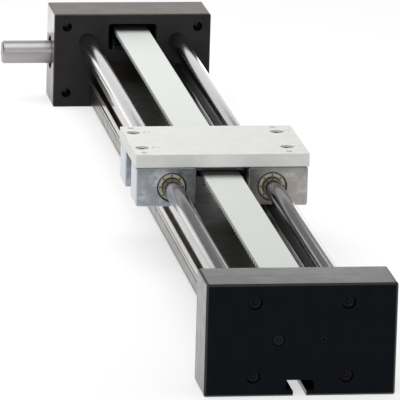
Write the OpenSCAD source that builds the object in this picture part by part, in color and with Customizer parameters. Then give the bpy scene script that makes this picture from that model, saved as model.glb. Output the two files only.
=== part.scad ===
// Belt driven linear axis: a carriage on two ground rods, drawn along by a toothed belt.
// +Y runs from the tension end to the drive end, +X is to the right, +Z is up. The origin is the
// mouth of the tension end's T-slot: middle of the width, front face, underside.

/* [End blocks] */
// Width of both end blocks
block_w = 150; // [146:1:160]
// Height of both end blocks
block_h = 90; // [88:1:94]
// Thickness of the front part of the tension end, which holds the belt tensioner
front_t = 26; // [26:1:30]
// Thickness of the seat plate behind it, which holds the rods and the profile
seat_t = 24; // [22:1:28]
// Thickness of the drive end block
drive_t = 56; // [56:1:60]
// Radius of the long edges of the blocks
block_edge_r = 2; // [1:0.5:4]
// Chamfer round the outer faces of the blocks
block_chamfer = 1.6; // [0.5:0.1:2.5]

/* [Guide] */
// Clear length between the end blocks
span = 930; // [600:10:1500]
// Diameter of the guide rods
rod_d = 16; // [14:1:16]
// Distance from the middle plane to each rod's axis
rod_x = 43; // [42:0.5:44]
// Height of the rod axes
rod_z = 63.5; // [63:0.5:65]

/* [Base profile] */
// Width of the extruded profile
profile_w = 80; // [78:1:84]
// Height of the extruded profile
profile_h = 40; // [39:1:41]
// Height of its underside above the blocks' underside
profile_z = 4.5; // [4:0.5:5]
// Mouth width of its T-slots
slot_w = 8.2; // [8:0.1:8.4]

/* [Belt drive] */
// Number of teeth of both pulleys
pulley_teeth = 16; // [15:1:16]
// Pitch of the belt
belt_pitch = 10; // [10]
// Width of the belt
belt_w = 32; // [25:1:32]
// Height of both pulley axes
axis_z = 47; // [46:0.5:48]
// Diameter of the drive shaft's free end
stub_d = 22; // [20:1:22]
// Length of the drive shaft's free end, measured from the block
stub_l = 46.5; // [30:0.5:70]

/* [Carriage] */
// Width of the carriage plate
plate_w = 149; // [147:1:150]
// Length of the carriage plate
plate_l = 102; // [102:1:120]
// Thickness of the carriage plate
plate_t = 12; // [12:1:15]
// Height of the underside of the carriage plate
plate_z = 80.5; // [80:0.5:82]
// Place of the carriage's middle along the axis
carriage_y = 462; // [120:10:900]

/* [Hidden] */
$fn = 48;

// radial clearance of a screw in its hole, and how far a cut runs past a face
fit = 0.05;
eps = 0.1;
seam_chamfer = 0.15;

// stations along the axis
seat_y = front_t;
profile_y0 = front_t + seat_t;
drive_y0 = profile_y0 + span;
drive_y1 = drive_y0 + drive_t;

// belt and pulleys
pitch_r = pulley_teeth * belt_pitch / (2 * PI);
belt_back_r = pitch_r + 1;
belt_land_r = pitch_r - 0.96;
belt_tooth_h = 2.5;
tip_r = pitch_r - 1.26;
flange_r = belt_back_r + 0.34;
flange_x0 = belt_w / 2 + 0.6;
flange_t = 1;
pulley_half = flange_x0 + flange_t;
drive_y = drive_y0 + 30.5;
idler_y = 45.5;

// T-slots
block_slot_w = 10.5;
block_slot_inner_w = 22;
block_slot_lip = 4;
block_slot_top = 13;
slot_inner_w = 15;
slot_lip = 3;
slot_depth = 8;
side_slot_z = profile_z + 28.5;
bottom_slot_x = 20;

// switch rail in the profile's right slot
rail_y = [profile_y0 + 12, drive_y0 - 12];
rail_x = profile_w / 2 + 0.1;
rail_reach = 7.4;
rail_t = 2.2;
rail_top = profile_z + profile_h;
rail_low = side_slot_z - 9;
rail_screw_y = [for (i = [0 : 4]) rail_y[0] + 40 + i * (rail_y[1] - rail_y[0] - 80) / 4];
nut_x = [33, 37];

// hollows of the profile
cavity_w = 2 * pulley_half + 1.8;
cavity_z0 = profile_z + 12.5;
cavity_z1 = cavity_z0 + 12;
chamber_w = 54;
chamber_z0 = cavity_z1 + 2.5;
chamber_z1 = profile_z + profile_h - 4;
core_x = 27;
core_z = profile_z + 16;
core_r = 2.8;

// screws
m6_r = 3;
m6_head_r = 5;
m6_head_h = 6;
m6_pass_r = 3.3;
m6_sink_r = 5.5;
m6_tap_r = 2.5;
m5_r = 2.5;
m5_head_r = 4.25;
m4_r = 2;
m4_head_r = 3.5;
m4_head_h = 4;

// tension end
end_screw_x = 36.5;
end_screw_z = [15.5, 74.5];
end_screw_sink = 9.5;
end_screw_l = 27;
tension_screw_x = 17.7;
tension_screw_z = 45;
tension_wall = 7;
yoke_w = 49;
yoke_z = [35, 59];
yoke_y = [9, 17.5];
yoke_arm_t = 6;
yoke_arm_end = 10;
idler_axle_r = 6;
idler_bearing_r = 14;
idler_bearing_w = 8;
idler_bearing_x = pulley_half - 0.6 - idler_bearing_w;
window_w = yoke_w + 2;
window_z = [yoke_z[0] - 2, yoke_z[1] + 2];
well_w = cavity_w + 2;
well_z = [cavity_z0, axis_z + flange_r + 2.2];
relief_l = idler_y + flange_r + 1.7 - profile_y0;

// rods
rod_r = rod_d / 2;
rod_gap = 0.02;
rod_end_y = drive_y0 + 17;
set_screw_l = 10;
set_screw_y = [profile_y0 - 6, drive_y0 + 8];

// drive end
corner_hole_x = 62.5;
corner_hole_z = [13.5, 77.5];
corner_hole_r = 4.5;
pulley_room_w = 40;
pulley_window_w = 46;
pulley_window_z = [55, 80.5];
pulley_window_r = 3;
shaft_r = 10;
shaft_bearing_r = 16;
shaft_bearing_w = 7;
shaft_bearing_x = block_w / 2 - 3 - shaft_bearing_w;
shaft_passage_r = 14;
profile_screw_head_y = drive_y1 - 22;
cover_w = 62;
cover_z = [13, 81];
cover_t = 5;
cover_recess_t = 3.2;
cover_screw_x = 26.5;
cover_screw_z = [33, 76];

// carriage
carriage_y0 = carriage_y - plate_l / 2;
bearing_w = 51;
bearing_l = 33;
bearing_x = 48;
bearing_z0 = 47;
bearing_edge_r = 2.5;
bushing_r = 12;
bushing_l = 30;
bushing_z = rod_z;
bore_step = 0.6;
block_screw_x = [-66, 58.5];
block_screw_y = 27.5;
dowel_x = [-54.5, 67];
dowel_r = 3;
tapped_x = [-66, 58];
tapped_y = 44;
clamp_w = 43.4;
clamp_l = 70;
clamp_t = 8;
clamp_gap = 0.15;
clamp_screw_x = 18.3;
clamp_screw_y = 25;

// ---------- shapes that the parts share ----------

// Extrudes a shape drawn in X and Z along Y, from y0 to y1
module extrude_y(y0, y1) {
    translate([0, y1, 0]) rotate([90, 0, 0]) linear_extrude(y1 - y0) children();
}

// Extrudes a shape drawn in Y and Z along X, from x0 to x1
module extrude_x(x0, x1) {
    translate([x0, 0, 0]) rotate([90, 0, 90]) linear_extrude(x1 - x0) children();
}

module rod_along_y(r, x, z, y0, y1) {
    translate([x, y0, z]) rotate([-90, 0, 0]) cylinder(r = r, h = y1 - y0);
}

module rod_along_x(r, y, z, x0, x1) {
    translate([x0, y, z]) rotate([0, 90, 0]) cylinder(r = r, h = x1 - x0);
}

module box(x, y, z) {
    translate([x[0], y[0], z[0]]) cube([x[1] - x[0], y[1] - y[0], z[1] - z[0]]);
}

// A rectangle centred on X, standing on z0, with round corners
module round_rect(w, z0, z1, r) {
    translate([-w / 2 + r, z0]) square([w - 2 * r, z1 - z0]);
    translate([-w / 2, z0 + r]) square([w, z1 - z0 - 2 * r]);
    for (x = [-1, 1], z = [z0 + r, z1 - r]) translate([x * (w / 2 - r), z]) circle(r);
}

// A bar with its length along Y and a chamfer round each end: c holds the front one and the rear one
module chamfered_bar(w, z0, z1, y0, y1, r, c) {
    intersection() {
        extrude_y(y0, y1) round_rect(w, z0, z1, r);
        extrude_x(-w / 2, w / 2) polygon(cut_corners(y0, y1, z0, z1, c));
        translate([0, 0, z0]) linear_extrude(z1 - z0)
            polygon([for (p = cut_corners(y0, y1, -w / 2, w / 2, c)) [p[1], p[0]]]);
    }
}

// The corners of a rectangle, cut off by c[0] at y0 and by c[1] at y1
function cut_corners(y0, y1, a, b, c) =
    [[y0 + c[0], a], [y1 - c[1], a], [y1, a + c[1]], [y1, b - c[1]],
     [y1 - c[1], b], [y0 + c[0], b], [y0, b - c[0]], [y0, a + c[0]]];

// The T-slot in the underside of the blocks
module block_slot() {
    translate([-block_slot_w / 2, -1]) square([block_slot_w, block_slot_lip + 2]);
    translate([-block_slot_inner_w / 2, block_slot_lip])
        square([block_slot_inner_w, block_slot_top - block_slot_lip]);
}

// A T-slot of the profile, its mouth on Y = 0 and its depth along +Y
module profile_slot() {
    translate([-slot_w / 2, -1]) square([slot_w, slot_lip + 2]);
    translate([-slot_inner_w / 2, slot_lip]) square([slot_inner_w, slot_depth - slot_lip]);
}

// A socket head screw, its head's top at the origin and its shank along -Z
module cap_screw(r, l, head_r, head_h) {
    difference() {
        union() {
            translate([0, 0, -head_h]) cylinder(r = head_r, h = head_h);
            translate([0, 0, -head_h - l]) cylinder(r = r, h = l + eps);
        }
        translate([0, 0, -head_h / 2]) cylinder(r = r, h = head_h, $fn = 6);
    }
}

// A set screw with its socket at the origin, along -Z
module set_screw(r, l) {
    difference() {
        translate([0, 0, -l]) cylinder(r = r, h = l);
        translate([0, 0, -l * 0.4]) cylinder(r = r * 0.58, h = l, $fn = 6);
    }
}

// Turns a part drawn along -Z so that it points along +Y
module point_along_y(x, y, z) {
    translate([x, y, z]) rotate([90, 0, 0]) children();
}

// A ball race round the Z axis, between two radii, with its groove
module race(r0, r1, w, groove_pitch, groove_r) {
    rotate_extrude() difference() {
        translate([r0, -w / 2]) square([r1 - r0, w]);
        translate([groove_pitch, 0]) circle(groove_r);
    }
}

module ball_ring(pitch, ball_r, count) {
    for (i = [0 : count - 1]) rotate(i * 360 / count) translate([pitch, 0, 0]) sphere(ball_r);
}

// A split ring round the Z axis
module split_ring(r0, r1, t, gap) {
    difference() {
        cylinder(r = r1, h = t);
        translate([0, 0, -eps]) cylinder(r = r0, h = t + 2 * eps);
        translate([0, -gap / 2, -eps]) cube([r1 + 1, gap, t + 2 * eps]);
    }
}

// One groove of a pulley, drawn at the top of the pulley
module tooth_gap() {
    root = tip_r - belt_tooth_h - 0.3;
    polygon([[-2.2, root], [2.2, root], [3.5, tip_r + 1], [-3.5, tip_r + 1]]);
}

// A pulley along X with its flanges, centred on the origin
module pulley_body() {
    extrude_x(-flange_x0, flange_x0) difference() {
        circle(tip_r);
        for (i = [0 : pulley_teeth - 1]) rotate(i * 360 / pulley_teeth) tooth_gap();
    }
    for (x = [-pulley_half, flange_x0]) rod_along_x(flange_r, 0, 0, x, x + flange_t);
}

// ---------- tension end ----------

// The room for the idler pulley and its yoke
module tensioner_room(y0, y1) {
    box([-well_w / 2, well_w / 2], [y0, y1], well_z);
    box([-window_w / 2, window_w / 2], [y0, y1], window_z);
}

module tension_end_block() color("#17191c") difference() {
    chamfered_bar(block_w, 0, block_h, 0, front_t, block_edge_r, [block_chamfer, seam_chamfer]);
    extrude_y(-eps, front_t + eps) block_slot();
    tensioner_room(tension_wall, front_t + eps);
    for (x = [-1, 1], z = end_screw_z) {
        rod_along_y(m6_sink_r, x * end_screw_x, z, -eps, end_screw_sink);
        rod_along_y(m6_pass_r, x * end_screw_x, z, -eps, front_t + eps);
    }
    rod_along_y(m5_head_r + 0.6, -tension_screw_x, tension_screw_z, -eps, 3.5);
    for (x = [-1, 1])
        rod_along_y(m5_r + fit, x * tension_screw_x, tension_screw_z, -eps, tension_wall + eps);
}

module tension_seat_plate() color("#1b1d20") difference() {
    chamfered_bar(block_w, 0, block_h, seat_y, profile_y0, block_edge_r, [seam_chamfer, 1]);
    extrude_y(seat_y - eps, profile_y0 + eps) block_slot();
    tensioner_room(seat_y - eps, profile_y0 + eps);
    for (x = [-1, 1]) {
        rod_along_y(rod_r + rod_gap, x * rod_x, rod_z, seat_y - eps, profile_y0 + eps);
        for (z = end_screw_z)
            rod_along_y(m6_r + fit, x * end_screw_x, z, seat_y - eps, seat_y + 13);
        rod_along_y(m6_sink_r, x * core_x, core_z, seat_y - eps, seat_y + m6_head_h + 1);
        rod_along_y(m6_pass_r, x * core_x, core_z, seat_y, profile_y0 + eps);
        set_screw_hole(x, set_screw_y[0]);
    }
}

module set_screw_hole(side, y) {
    translate([side * rod_x, y, -eps]) cylinder(r = m6_r + fit, h = rod_z);
}

module tension_block_screws() color("#2a2c2f")
    for (x = [-1, 1], z = end_screw_z)
        point_along_y(x * end_screw_x, end_screw_sink - m6_head_h, z)
            cap_screw(m6_r, end_screw_l, m6_head_r, m6_head_h);

// Pulls the yoke towards the front face
module tension_pull_screw() color("#2a2c2f")
    point_along_y(-tension_screw_x, 0.2, tension_screw_z)
        cap_screw(m5_r, 12.5, m5_head_r, 3.3);

// Bears on the yoke and locks it
module tension_push_screw() color("#2a2c2f")
    point_along_y(tension_screw_x, 0.6, tension_screw_z) set_screw(m5_r, yoke_y[0] - 0.6);

module idler_yoke() color("#8f9498") difference() {
    union() {
        box([-yoke_w / 2, yoke_w / 2], yoke_y, yoke_z);
        for (x = [-yoke_w / 2, yoke_w / 2 - yoke_arm_t])
            box([x, x + yoke_arm_t], [yoke_y[0], idler_y + yoke_arm_end], yoke_z);
    }
    rod_along_x(idler_axle_r + fit, idler_y, axis_z, -yoke_w, yoke_w);
    rod_along_y(m5_r + fit, -tension_screw_x, tension_screw_z, yoke_y[0] - eps, yoke_y[1] + eps);
}

module idler_axle() color("#c9cccd")
    rod_along_x(idler_axle_r, idler_y, axis_z, -yoke_w / 2, yoke_w / 2);

module at_idler(x) {
    translate([x, idler_y, axis_z]) rotate([0, 90, 0]) children();
}

module idler_spacers() color("#b9bcbd")
    for (side = [-1, 1]) at_idler(side * (pulley_half + 0.15)) difference() {
        cylinder(r = 8, h = 1.4, center = true);
        cylinder(r = idler_axle_r + fit, h = 3, center = true);
    }

module at_idler_bearings() {
    for (side = [-1, 1]) at_idler(side * (idler_bearing_x + idler_bearing_w / 2)) children();
}

module idler_bearing_inner_rings() color("#c4c8ca")
    at_idler_bearings() race(idler_axle_r + fit, 8.4, idler_bearing_w, 10, 2.46);

module idler_bearing_outer_rings() color("#c4c8ca")
    at_idler_bearings() race(11.6, idler_bearing_r, idler_bearing_w, 10, 2.46);

module idler_bearing_balls() color("#dcdfe0") at_idler_bearings() ball_ring(10, 2.38, 8);

module idler_pulley() color("#9ea3a6") difference() {
    translate([0, idler_y, axis_z]) pulley_body();
    rod_along_x(idler_bearing_r - 1.5, idler_y, axis_z, -pulley_half - eps, pulley_half + eps);
    for (side = [-1, 1]) at_idler(side * (idler_bearing_x + 10))
        cylinder(r = idler_bearing_r + 0.01, h = 20, center = true);
}

// ---------- base profile and rods ----------

module profile_section() {
    difference() {
        round_rect(profile_w, profile_z, profile_z + profile_h, 1.5);
        translate([-cavity_w / 2, cavity_z0]) square([cavity_w, cavity_z1 - cavity_z0]);
        translate([-chamber_w / 2, chamber_z0]) square([chamber_w, chamber_z1 - chamber_z0]);
        for (x = [-1, 1]) {
            translate([x * core_x, core_z]) circle(core_r);
            translate([x * bottom_slot_x, profile_z]) profile_slot();
            translate([x * profile_w / 2, side_slot_z]) rotate(x * 90) profile_slot();
            translate([x * profile_w / 2, profile_z + 16.5]) circle(1.3, $fn = 4);
        }
    }
}

module base_profile() color("#2c2a29") difference() {
    extrude_y(profile_y0, drive_y0) profile_section();
    box([-cavity_w / 2, cavity_w / 2], [profile_y0 - eps, profile_y0 + relief_l],
        [cavity_z1 - eps, block_h]);
    box([-chamber_w / 2, chamber_w / 2], [profile_y0 - eps, profile_y0 + 7.5],
        [chamber_z0, block_h]);
}

module profile_screws() color("#2a2c2f") for (x = [-1, 1]) {
    point_along_y(x * core_x, seat_y + 1, core_z) cap_screw(core_r - fit, 34, m6_head_r, m6_head_h);
    translate([x * core_x, profile_screw_head_y, core_z]) rotate([-90, 0, 0])
        cap_screw(core_r - fit, 44, m6_head_r, m6_head_h);
}

// An angle along the profile's right side, for the limit switches
module switch_rail() color("#232527") difference() {
    extrude_y(rail_y[0], rail_y[1]) translate([rail_x, 0]) {
        translate([0, rail_low]) square([rail_t, rail_top - rail_low]);
        translate([0, rail_top - rail_t]) square([rail_reach, rail_t]);
    }
    for (y = rail_screw_y) rod_along_x(m4_r + 0.2, y, side_slot_z, rail_x - eps, rail_x + rail_t + eps);
}

module rail_screws() color("#2a2c2f")
    for (y = rail_screw_y) translate([rail_x + rail_t + 2.2, y, side_slot_z]) rotate([0, 90, 0])
        cap_screw(m4_r, 8.5, 3.8, 2.2);

module rail_slot_nuts() color("#9ea3a6")
    for (y = rail_screw_y) difference() {
        box(nut_x, [y - 6, y + 6], [side_slot_z - 6, side_slot_z + 6]);
        rod_along_x(m4_r + fit, y, side_slot_z, nut_x[0] - eps, nut_x[1] + eps);
    }

// A ground rod with chamfered ends
module guide_rod(side) color("#cfd2d4")
    translate([side * rod_x, seat_y + 0.1, rod_z]) rotate([-90, 0, 0]) rotate_extrude()
        polygon([[0, 0], [rod_r - 1, 0], [rod_r, 1], [rod_r, rod_end_y - seat_y - 1.1],
                 [rod_r - 1, rod_end_y - seat_y - 0.1], [0, rod_end_y - seat_y - 0.1]]);

module guide_rod_left() guide_rod(-1);
module guide_rod_right() guide_rod(1);

module rod_set_screws() color("#2a2c2f")
    for (x = [-1, 1], y = set_screw_y)
        translate([x * rod_x, y, rod_z - rod_r - fit - set_screw_l]) rotate([180, 0, 0])
            set_screw(m6_r, set_screw_l);

// ---------- drive end ----------

module drive_end_block() color("#1b1d20") difference() {
    chamfered_bar(block_w, 0, block_h, drive_y0, drive_y1, block_edge_r, [1, block_chamfer]);
    extrude_y(drive_y0 - eps, drive_y1 + eps) block_slot();
    extrude_y(drive_y0 + 3, drive_y1 + eps)
        round_rect(pulley_room_w, cavity_z0, pulley_window_z[1], pulley_window_r);
    extrude_y(drive_y0 - eps, drive_y1 + eps)
        round_rect(pulley_window_w, pulley_window_z[0], pulley_window_z[1], pulley_window_r);
    box([-cavity_w / 2, cavity_w / 2], [drive_y0 - eps, drive_y0 + 3.5], [cavity_z0, cavity_z1]);
    rod_along_x(shaft_passage_r, drive_y, axis_z, -block_w / 2 + 5, block_w / 2 - 5);
    for (x = [-1, 1]) {
        translate([x * (shaft_bearing_x + 10), drive_y, axis_z]) rotate([0, 90, 0])
            cylinder(r = shaft_bearing_r + 0.01, h = 20, center = true);
        translate([x * (block_w / 2 - 2.2), drive_y, axis_z]) rotate([0, 90, 0])
            cylinder(r = shaft_bearing_r + 0.8, h = 1.3, center = true);
        rod_along_y(rod_r + rod_gap, x * rod_x, rod_z, drive_y0 - eps, rod_end_y + 0.4);
        rod_along_y(m6_pass_r, x * core_x, core_z, drive_y0 - eps, drive_y1);
        rod_along_y(m6_sink_r, x * core_x, core_z, profile_screw_head_y - m6_head_h,
                    drive_y1 + eps);
        set_screw_hole(x, set_screw_y[1]);
        for (z = corner_hole_z)
            rod_along_y(corner_hole_r, x * corner_hole_x, z, drive_y0 - eps, drive_y1 + eps);
        for (z = cover_screw_z)
            rod_along_y(m4_r + fit, x * cover_screw_x, z, drive_y1 - 9, drive_y1 + eps);
    }
}

module at_drive(x) {
    translate([x, drive_y, axis_z]) rotate([0, 90, 0]) children();
}

module at_drive_bearings() {
    for (side = [-1, 1]) at_drive(side * (shaft_bearing_x + shaft_bearing_w / 2)) children();
}

module drive_bearing_outer_rings() color("#c4c8ca")
    at_drive_bearings() race(13.9, shaft_bearing_r, shaft_bearing_w, 13, 1.82);

module drive_bearing_inner_rings() color("#c4c8ca")
    at_drive_bearings() race(shaft_r + 0.01, 12.1, shaft_bearing_w, 13, 1.82);

module drive_bearing_balls() color("#dcdfe0") at_drive_bearings() ball_ring(13, 1.75, 12);

module bearing_retaining_rings() color("#3a3c3e")
    for (side = [-1, 1]) at_drive(side * (block_w / 2 - 2.2)) translate([0, 0, -0.5])
        split_ring(13.6, shaft_bearing_r + 0.7, 1, 5);

// The shaft: a stout free end on the left, then a seat for the bearings and the pulley
module drive_shaft() color("#c9cccd") difference() {
    shoulder = -shaft_bearing_x - shaft_bearing_w;
    tip = -block_w / 2 - stub_l;
    right = shaft_bearing_x + shaft_bearing_w;
    translate([0, drive_y, axis_z]) rotate([0, 90, 0]) rotate_extrude()
        polygon([[0, tip + 4.5], [2.6, tip], [stub_d / 2 - 1.6, tip], [stub_d / 2, tip + 1.6],
                 [stub_d / 2, shoulder], [shaft_r, shoulder], [shaft_r, right - 0.8],
                 [shaft_r - 0.8, right], [2.6, right], [0, right - 4.5]]);
    box([-14, 14], [drive_y - 3, drive_y + 3], [axis_z + shaft_r - 3.5, axis_z + shaft_r + 1]);
    for (x = [-1, 1]) pulley_ring_groove(x);
}

module pulley_ring_groove(side) {
    at_drive(side * (pulley_half + 0.7)) difference() {
        cylinder(r = shaft_r + 1, h = 1.3, center = true);
        cylinder(r = shaft_r - 0.7, h = 2, center = true);
    }
}

module drive_pulley() color("#9ea3a6") difference() {
    translate([0, drive_y, axis_z]) pulley_body();
    rod_along_x(shaft_r + 0.01, drive_y, axis_z, -pulley_half - eps, pulley_half + eps);
    box([-pulley_half - eps, pulley_half + eps], [drive_y - 3.02, drive_y + 3.02],
        [axis_z, axis_z + shaft_r + 2.8]);
}

module pulley_key() color("#a5a9ab")
    box([-13.9, 13.9], [drive_y - 3, drive_y + 3], [axis_z + shaft_r - 3.45, axis_z + shaft_r + 2.6]);

module pulley_retaining_rings() color("#3a3c3e")
    for (side = [-1, 1]) at_drive(side * (pulley_half + 0.7)) translate([0, 0, -0.5])
        split_ring(shaft_r - 0.65, shaft_r + 2.5, 1, 5);

module rear_cover() color("#26282b") difference() {
    chamfered_bar(cover_w, cover_z[0], cover_z[1], drive_y1, drive_y1 + cover_t, 3, [0.2, 0.8]);
    box([-pulley_room_w / 2, pulley_room_w / 2], [drive_y1 - eps, drive_y1 + cover_recess_t],
        [axis_z - 29, axis_z + 29]);
    for (x = [-1, 1], z = cover_screw_z)
        rod_along_y(m4_r + 0.3, x * cover_screw_x, z, drive_y1 - eps, drive_y1 + cover_t + eps);
}

module rear_cover_screws() color("#2a2c2f")
    for (x = [-1, 1], z = cover_screw_z)
        translate([x * cover_screw_x, drive_y1 + cover_t + m4_head_h / 2, z]) rotate([-90, 0, 0])
            cap_screw(m4_r, 12, m4_head_r, m4_head_h / 2);

// ---------- belt ----------

// A straight run of the belt with its teeth, its land at height 0 and its back above it
module belt_run(y0, y1) {
    back = belt_back_r - belt_land_r;
    first = y0 + 15;
    count = floor((y1 - y0 - 30) / belt_pitch);
    teeth = [for (i = [0 : count], p = [[-3.1, 0], [-1.9, -belt_tooth_h], [1.9, -belt_tooth_h],
                                        [3.1, 0]]) [first + i * belt_pitch + p[0], p[1]]];
    polygon(concat([[y0, 0]], teeth, [[y1, 0], [y1, back], [y0, back]]));
}

module belt_wrap(y, side) {
    translate([y, axis_z]) difference() {
        circle(belt_back_r, $fn = 96);
        circle(belt_land_r, $fn = 96);
        translate([side > 0 ? -40 : 0, -40]) square([40, 80]);
    }
}

// The closed loop, toothed where it runs straight
module toothed_belt() color("#f1f1ee") extrude_x(-belt_w / 2, belt_w / 2) {
    translate([0, axis_z + belt_land_r]) belt_run(idler_y, drive_y);
    translate([0, axis_z - belt_land_r]) mirror([0, 1]) belt_run(idler_y, drive_y);
    belt_wrap(idler_y, -1);
    belt_wrap(drive_y, 1);
}

// ---------- carriage ----------

module carriage_plate() color("#d9dbd8") difference() {
    translate([0, carriage_y, 0])
        chamfered_bar(plate_w, plate_z, plate_z + plate_t, -plate_l / 2, plate_l / 2, 0.6, [0.6, 0.6]);
    translate([0, carriage_y, plate_z]) {
        for (x = block_screw_x, y = [-1, 1]) translate([x, y * block_screw_y, 0]) {
            translate([0, 0, plate_t - m6_head_h - 0.5]) cylinder(r = m6_sink_r, h = plate_t);
            translate([0, 0, -eps]) cylinder(r = m6_pass_r, h = plate_t);
        }
        for (x = dowel_x, y = [-1, 1]) translate([x, y * block_screw_y, -eps])
            cylinder(r = dowel_r + 0.02, h = plate_t + 2 * eps);
        for (x = tapped_x, y = [-1, 1]) translate([x, y * tapped_y, -eps])
            cylinder(r = m6_tap_r, h = plate_t + 2 * eps);
        for (x = [-1, 1], y = [-1, 1]) translate([x * clamp_screw_x, y * clamp_screw_y, -eps])
            cylinder(r = m4_r + fit, h = 9);
    }
}

// One bearing block: side is -1 on the left and 1 on the right, end is -1 in front and 1 behind
module bearing_block(side, end) color("#a9abaa") difference() {
    y0 = bearing_y0(end);
    translate([side * bearing_x, y0, 0])
        chamfered_bar(bearing_w, bearing_z0, plate_z, 0, bearing_l, bearing_edge_r, [0.8, 0.8]);
    rod_along_y(bushing_r + rod_gap, side * rod_x, bushing_z, y0 - eps, y0 + bearing_l + eps);
    for (y = [y0, y0 + bearing_l])
        rod_along_y(bushing_r + bore_step, side * rod_x, bushing_z, y - bore_step, y + bore_step);
    translate([side_value(block_screw_x, side), carriage_y + end * block_screw_y, plate_z - 9])
        cylinder(r = m6_r + fit, h = 10);
    translate([side_value(dowel_x, side), carriage_y + end * block_screw_y, plate_z - 6])
        cylinder(r = dowel_r + 0.02, h = 7);
}

function side_value(pair, side) = side < 0 ? pair[0] : pair[1];
function bearing_y0(end) = end < 0 ? carriage_y0 : carriage_y0 + plate_l - bearing_l;
function bushing_y0(end) = bearing_y0(end) + (bearing_l - bushing_l) / 2;

module bearing_block_front_left() bearing_block(-1, -1);
module bearing_block_front_right() bearing_block(1, -1);
module bearing_block_rear_left() bearing_block(-1, 1);
module bearing_block_rear_right() bearing_block(1, 1);

module at_bushing(side, end) {
    translate([side * rod_x, bushing_y0(end), bushing_z]) rotate([-90, 0, 0]) children();
}

// The hardened sleeve of a ball bushing
module ball_bushing(side, end) color("#c4c8ca") at_bushing(side, end) rotate_extrude()
    polygon([[11.45, 0], [bushing_r, 0], [bushing_r, bushing_l], [11.45, bushing_l],
             [11.45, bushing_l - 2.05], [11.1, bushing_l - 2.05], [11.1, 2.05], [11.45, 2.05]]);

module ball_bushing_front_left() ball_bushing(-1, -1);
module ball_bushing_front_right() ball_bushing(1, -1);
module ball_bushing_rear_left() ball_bushing(-1, 1);
module ball_bushing_rear_right() ball_bushing(1, 1);

ball_rows = 5;
row_balls = 4;
ball_r = 1.5;
ball_pitch_r = rod_r + ball_r + 0.04;

// The plastic cage of a ball bushing, with a slot for each row of balls
module bushing_cage(side, end) color("#d3cdb2") at_bushing(side, end) difference() {
    rotate_extrude() polygon([[8.45, 0], [11.4, 0], [11.4, 2], [11.05, 2], [11.05, bushing_l - 2],
                              [11.4, bushing_l - 2], [11.4, bushing_l], [8.45, bushing_l]]);
    for (i = [0 : ball_rows - 1]) rotate(i * 360 / ball_rows)
        translate([8, -ball_r - 0.1, bushing_l / 2 - 9]) cube([6, 2 * ball_r + 0.2, 18]);
    for (i = [0 : 7], z = [-eps, bushing_l - 1.2])
        rotate(i * 45) translate([9.9, 0, z]) cylinder(r = 0.8, h = 1.2 + eps);
}

module bushing_cage_front_left() bushing_cage(-1, -1);
module bushing_cage_front_right() bushing_cage(1, -1);
module bushing_cage_rear_left() bushing_cage(-1, 1);
module bushing_cage_rear_right() bushing_cage(1, 1);

module bushing_balls() color("#dcdfe0")
    for (side = [-1, 1], end = [-1, 1]) at_bushing(side, end)
        for (i = [0 : ball_rows - 1], k = [0 : row_balls - 1]) rotate(i * 360 / ball_rows)
            translate([ball_pitch_r, 0, bushing_l / 2 + (k - (row_balls - 1) / 2) * 4.2])
                sphere(ball_r);

module block_screws() color("#2a2c2f")
    for (x = block_screw_x, y = [-1, 1])
        translate([x, carriage_y + y * block_screw_y, plate_z + plate_t - 0.5])
            cap_screw(m6_r, 14, m6_head_r, m6_head_h);

module block_dowels() color("#c4c8ca")
    for (x = dowel_x, y = [-1, 1])
        translate([x, carriage_y + y * block_screw_y, plate_z - 5.8])
            cylinder(r = dowel_r, h = plate_t + 5.6);

module clamp_plate(z0, z1) difference() {
    translate([0, carriage_y, 0])
        chamfered_bar(clamp_w, z0, z1, -clamp_l / 2, clamp_l / 2, 0.8, [0.5, 0.5]);
    for (x = [-1, 1], y = [-1, 1])
        translate([x * clamp_screw_x, carriage_y + y * clamp_screw_y, z0 - eps])
            cylinder(r = m4_r + fit, h = z1 - z0 + 2 * eps);
}

clamp_upper_z = axis_z + belt_back_r + clamp_gap;
clamp_lower_z = axis_z + belt_land_r - belt_tooth_h - clamp_gap;

module belt_clamp_upper() color("#b9bcba") clamp_plate(clamp_upper_z, plate_z);

module belt_clamp_lower() color("#b9bcba") difference() {
    clamp_plate(clamp_lower_z - clamp_t, clamp_lower_z);
    for (x = [-1, 1], y = [-1, 1])
        translate([x * clamp_screw_x, carriage_y + y * clamp_screw_y, clamp_lower_z - clamp_t - eps])
            cylinder(r = m4_head_r + 0.2, h = m4_head_h + eps);
}

module belt_clamp_screws() color("#2a2c2f")
    for (x = [-1, 1], y = [-1, 1])
        translate([x * clamp_screw_x, carriage_y + y * clamp_screw_y, clamp_lower_z - clamp_t])
            rotate([180, 0, 0]) cap_screw(m4_r, plate_z + 8 - clamp_lower_z + clamp_t - m4_head_h,
                                          m4_head_r, m4_head_h);

tension_end_block();
tension_seat_plate();
tension_block_screws();
tension_pull_screw();
tension_push_screw();
idler_yoke();
idler_axle();
idler_spacers();
idler_bearing_inner_rings();
idler_bearing_outer_rings();
idler_bearing_balls();
idler_pulley();
base_profile();
profile_screws();
switch_rail();
rail_screws();
rail_slot_nuts();
guide_rod_left();
guide_rod_right();
rod_set_screws();
drive_end_block();
drive_bearing_outer_rings();
drive_bearing_inner_rings();
drive_bearing_balls();
bearing_retaining_rings();
drive_shaft();
drive_pulley();
pulley_key();
pulley_retaining_rings();
rear_cover();
rear_cover_screws();
toothed_belt();
carriage_plate();
bearing_block_front_left();
bearing_block_front_right();
bearing_block_rear_left();
bearing_block_rear_right();
ball_bushing_front_left();
ball_bushing_front_right();
ball_bushing_rear_left();
ball_bushing_rear_right();
bushing_cage_front_left();
bushing_cage_front_right();
bushing_cage_rear_left();
bushing_cage_rear_right();
bushing_balls();
block_screws();
block_dowels();
belt_clamp_upper();
belt_clamp_lower();
belt_clamp_screws();
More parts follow.
